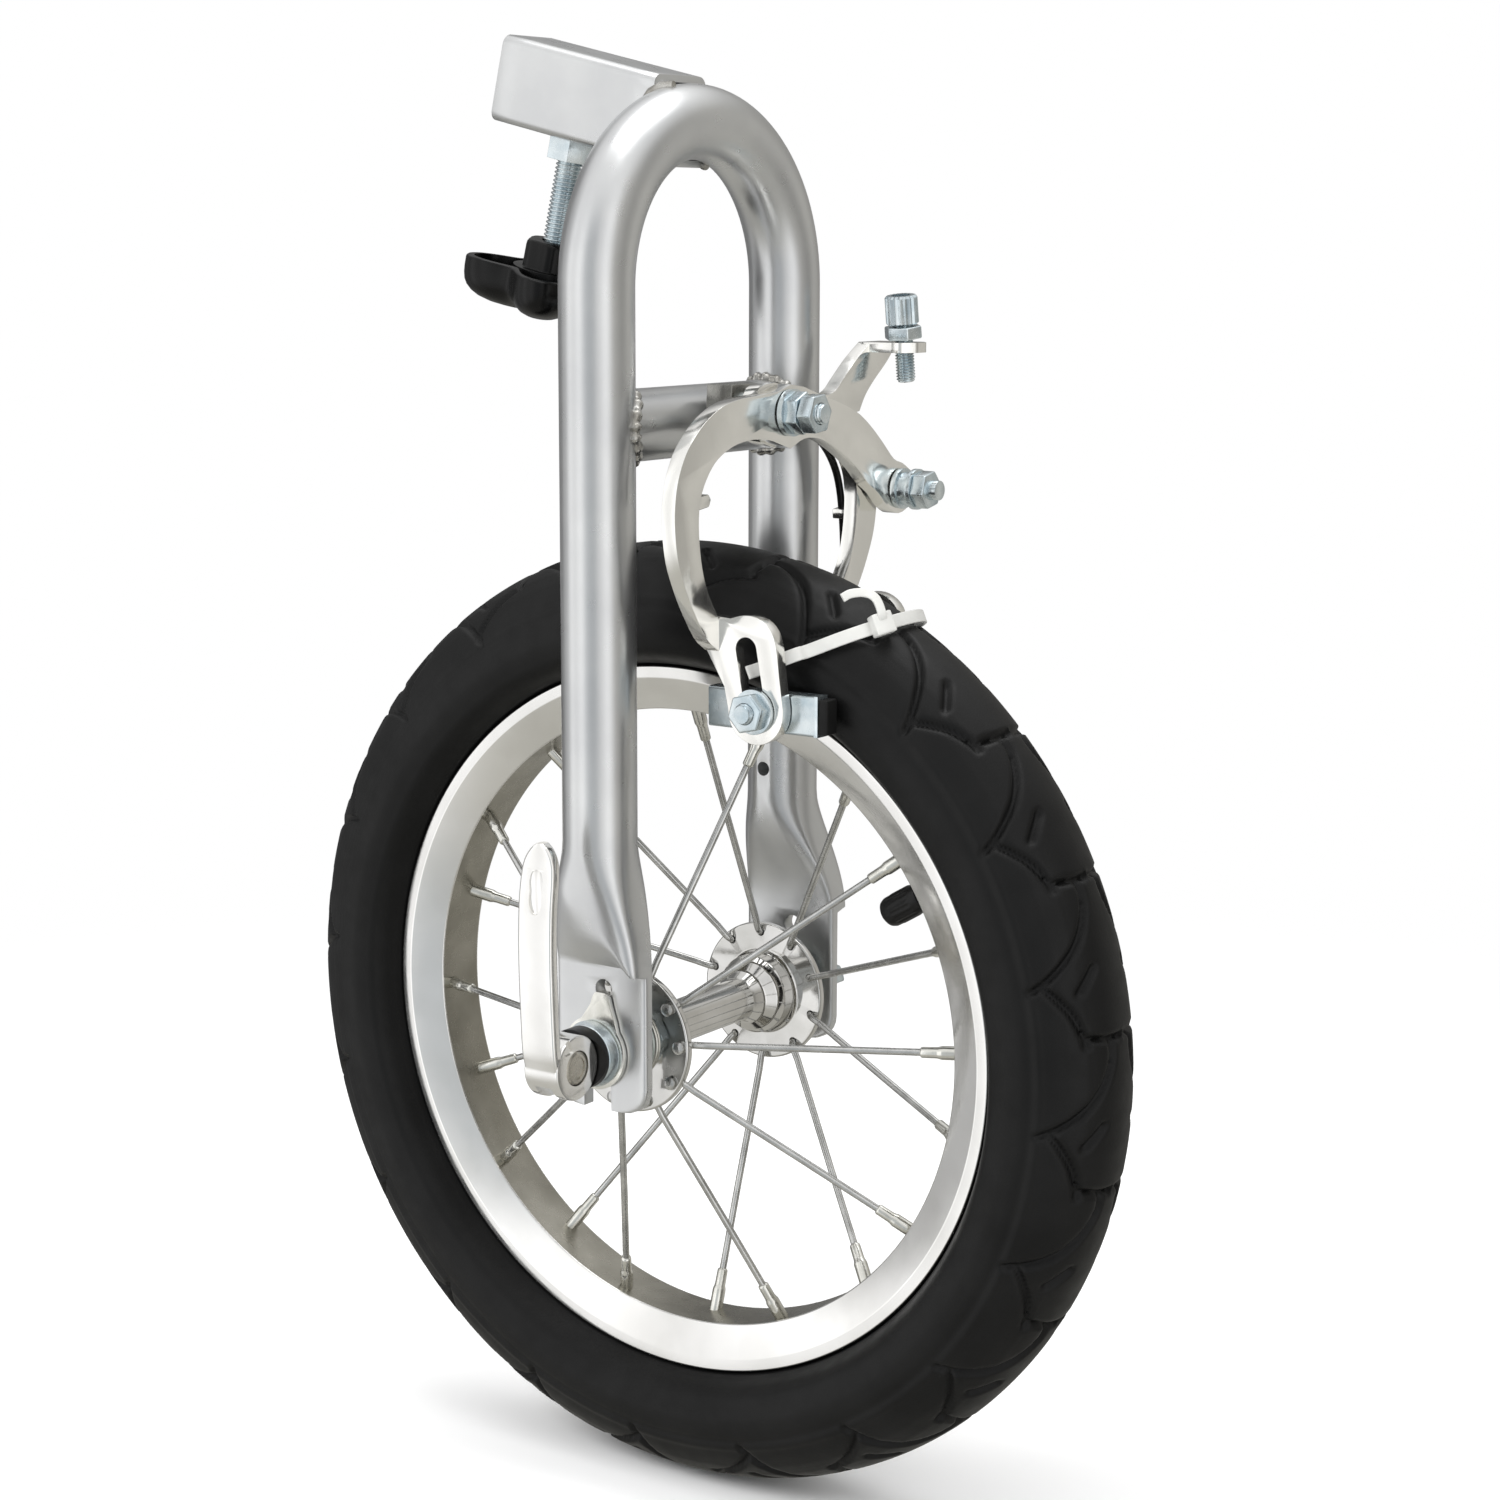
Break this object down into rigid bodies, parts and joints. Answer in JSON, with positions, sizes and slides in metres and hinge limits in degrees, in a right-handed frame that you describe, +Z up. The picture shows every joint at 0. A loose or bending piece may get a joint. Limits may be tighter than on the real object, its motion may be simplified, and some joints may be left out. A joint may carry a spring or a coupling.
{
  "type": "single wheel fork unit",
  "caption": "U-shaped tubular fork carrying a small spoked wheel on a quick-release axle, with a side-pull rim brake and a square socket boom closed by a hand screw.",
  "frame": {"origin": "centre of the open end of the square boom socket", "axes": "+Z up, +Y along the axle away from the quick-release lever, +X from the boom towards the brake"},
  "size_m": [0.2882, 0.1494, 0.4355],
  "materials": {
    "silver_paint": "satin silver paint over welded steel tube",
    "zinc": "bright zinc plate",
    "black_plastic": "moulded black plastic",
    "tyre": "moulded tread rubber",
    "tube_rubber": "smooth butyl",
    "polished_alloy": "polished extrusion",
    "hub_chrome": "chrome plate",
    "bearing_steel": "turned and greased steel",
    "spoke_steel": "galvanised wire with plated nipples",
    "lever_alloy": "bright polished casting",
    "arm_alloy": "polished stamped alloy",
    "pad_rubber": "moulded block",
    "black_wire": "blackened spring wire",
    "nylon": "natural white nylon"
  },
  "bodies": {
    "fork": {"fork_tube": "silver_paint", "cross_tube": "silver_paint", "boom_tube": "silver_paint", "clamp_nut": "zinc", "cone_near": "bearing_steel", "cone_far": "bearing_steel", "retention_washer_near": "zinc", "retention_washer_far": "zinc", "axle": "bearing_steel", "qr_cup_washer": "zinc", "qr_cam_follower": "black_plastic", "qr_skewer": "bearing_steel", "brake_pivot_bolt": "zinc", "brake_seat_block": "zinc", "brake_spring": "black_wire", "brake_lock_nut": "zinc", "brake_acorn_nut": "zinc"},
    "wheel": {"hub_shell": "hub_chrome", "ball_ring_near": "bearing_steel", "ball_ring_far": "bearing_steel", "rim": "polished_alloy", "inner_tube": "tube_rubber", "valve_cap": "black_plastic", "tyre": "tyre", "spoke_01": "spoke_steel", "spoke_02": "spoke_steel", "spoke_03": "spoke_steel", "spoke_04": "spoke_steel", "spoke_05": "spoke_steel", "spoke_06": "spoke_steel", "spoke_07": "spoke_steel", "spoke_08": "spoke_steel", "spoke_09": "spoke_steel", "spoke_10": "spoke_steel", "spoke_11": "spoke_steel", "spoke_12": "spoke_steel", "spoke_13": "spoke_steel", "spoke_14": "spoke_steel", "spoke_15": "spoke_steel", "spoke_16": "spoke_steel", "spoke_17": "spoke_steel", "spoke_18": "spoke_steel", "spoke_19": "spoke_steel", "spoke_20": "spoke_steel"},
    "front_arm": {"brake_arm_front": "arm_alloy", "shoe_holder_near": "zinc", "brake_pad_near": "pad_rubber", "shoe_nut_near": "zinc", "anchor_bolt": "zinc", "cable_tie": "nylon"},
    "rear_arm": {"brake_arm_rear": "arm_alloy", "shoe_holder_far": "zinc", "brake_pad_far": "pad_rubber", "shoe_nut_far": "zinc", "adjuster_locknut": "zinc"},
    "adjuster": {"barrel_adjuster": "zinc"},
    "qr_handle": {"qr_lever": "lever_alloy"},
    "qr_nut": {"qr_adjusting_nut": "zinc"},
    "clamp_shaft": {"clamp_screw": "zinc"},
    "clamp_handle": {"clamp_knob": "black_plastic"}
  },
  "joints": [
    {"name": "wheel_spin", "type": "hinge", "parent": "fork", "child": "wheel", "pos_m": [0.0645, 0, -0.279], "axis": [0, 1, 0], "continuous": true},
    {"name": "front_arm_pivot", "type": "hinge", "parent": "fork", "child": "front_arm", "pos_m": [0.0935, 0, -0.096], "axis": [1, 0, 0], "range_deg": [0, 0.6], "stiffness_Nm_per_rad": 2, "springref_deg": -17.19},
    {"name": "rear_arm_pivot", "type": "hinge", "parent": "fork", "child": "rear_arm", "pos_m": [0.0885, 0, -0.096], "axis": [1, 0, 0], "range_deg": [-0.6, 0]},
    {"name": "adjuster_turn", "type": "hinge", "parent": "rear_arm", "child": "adjuster", "pos_m": [0.099, 0.0578, -0.078], "axis": [0, -0.1392, 0.9903], "range_deg": [-180, 180]},
    {"name": "qr_lever_swing", "type": "hinge", "parent": "fork", "child": "qr_handle", "pos_m": [0.0645, -0.0683, -0.279], "axis": [1, 0, 0], "range_deg": [0, 120]},
    {"name": "qr_nut_turn", "type": "hinge", "parent": "fork", "child": "qr_nut", "pos_m": [0.0645, 0.058, -0.279], "axis": [0, 1, 0], "continuous": true},
    {"name": "clamp_slide", "type": "slide", "parent": "fork", "child": "clamp_shaft", "axis": [0.2284, 0, 0.9736], "range_m": [-0.00125, 0.005]},
    {"name": "clamp_knob_turn", "type": "hinge", "parent": "clamp_shaft", "child": "clamp_handle", "pos_m": [0.00892, 0, -0.05961], "axis": [0.2284, 0, 0.9736], "range_deg": [-360, 1440]}
  ],
  "couplings": [
    {"joint": "rear_arm_pivot", "follows": "front_arm_pivot", "ratio": -1},
    {"joint": "clamp_knob_turn", "follows": "clamp_slide", "rad_per_m": 5026.5}
  ]
}
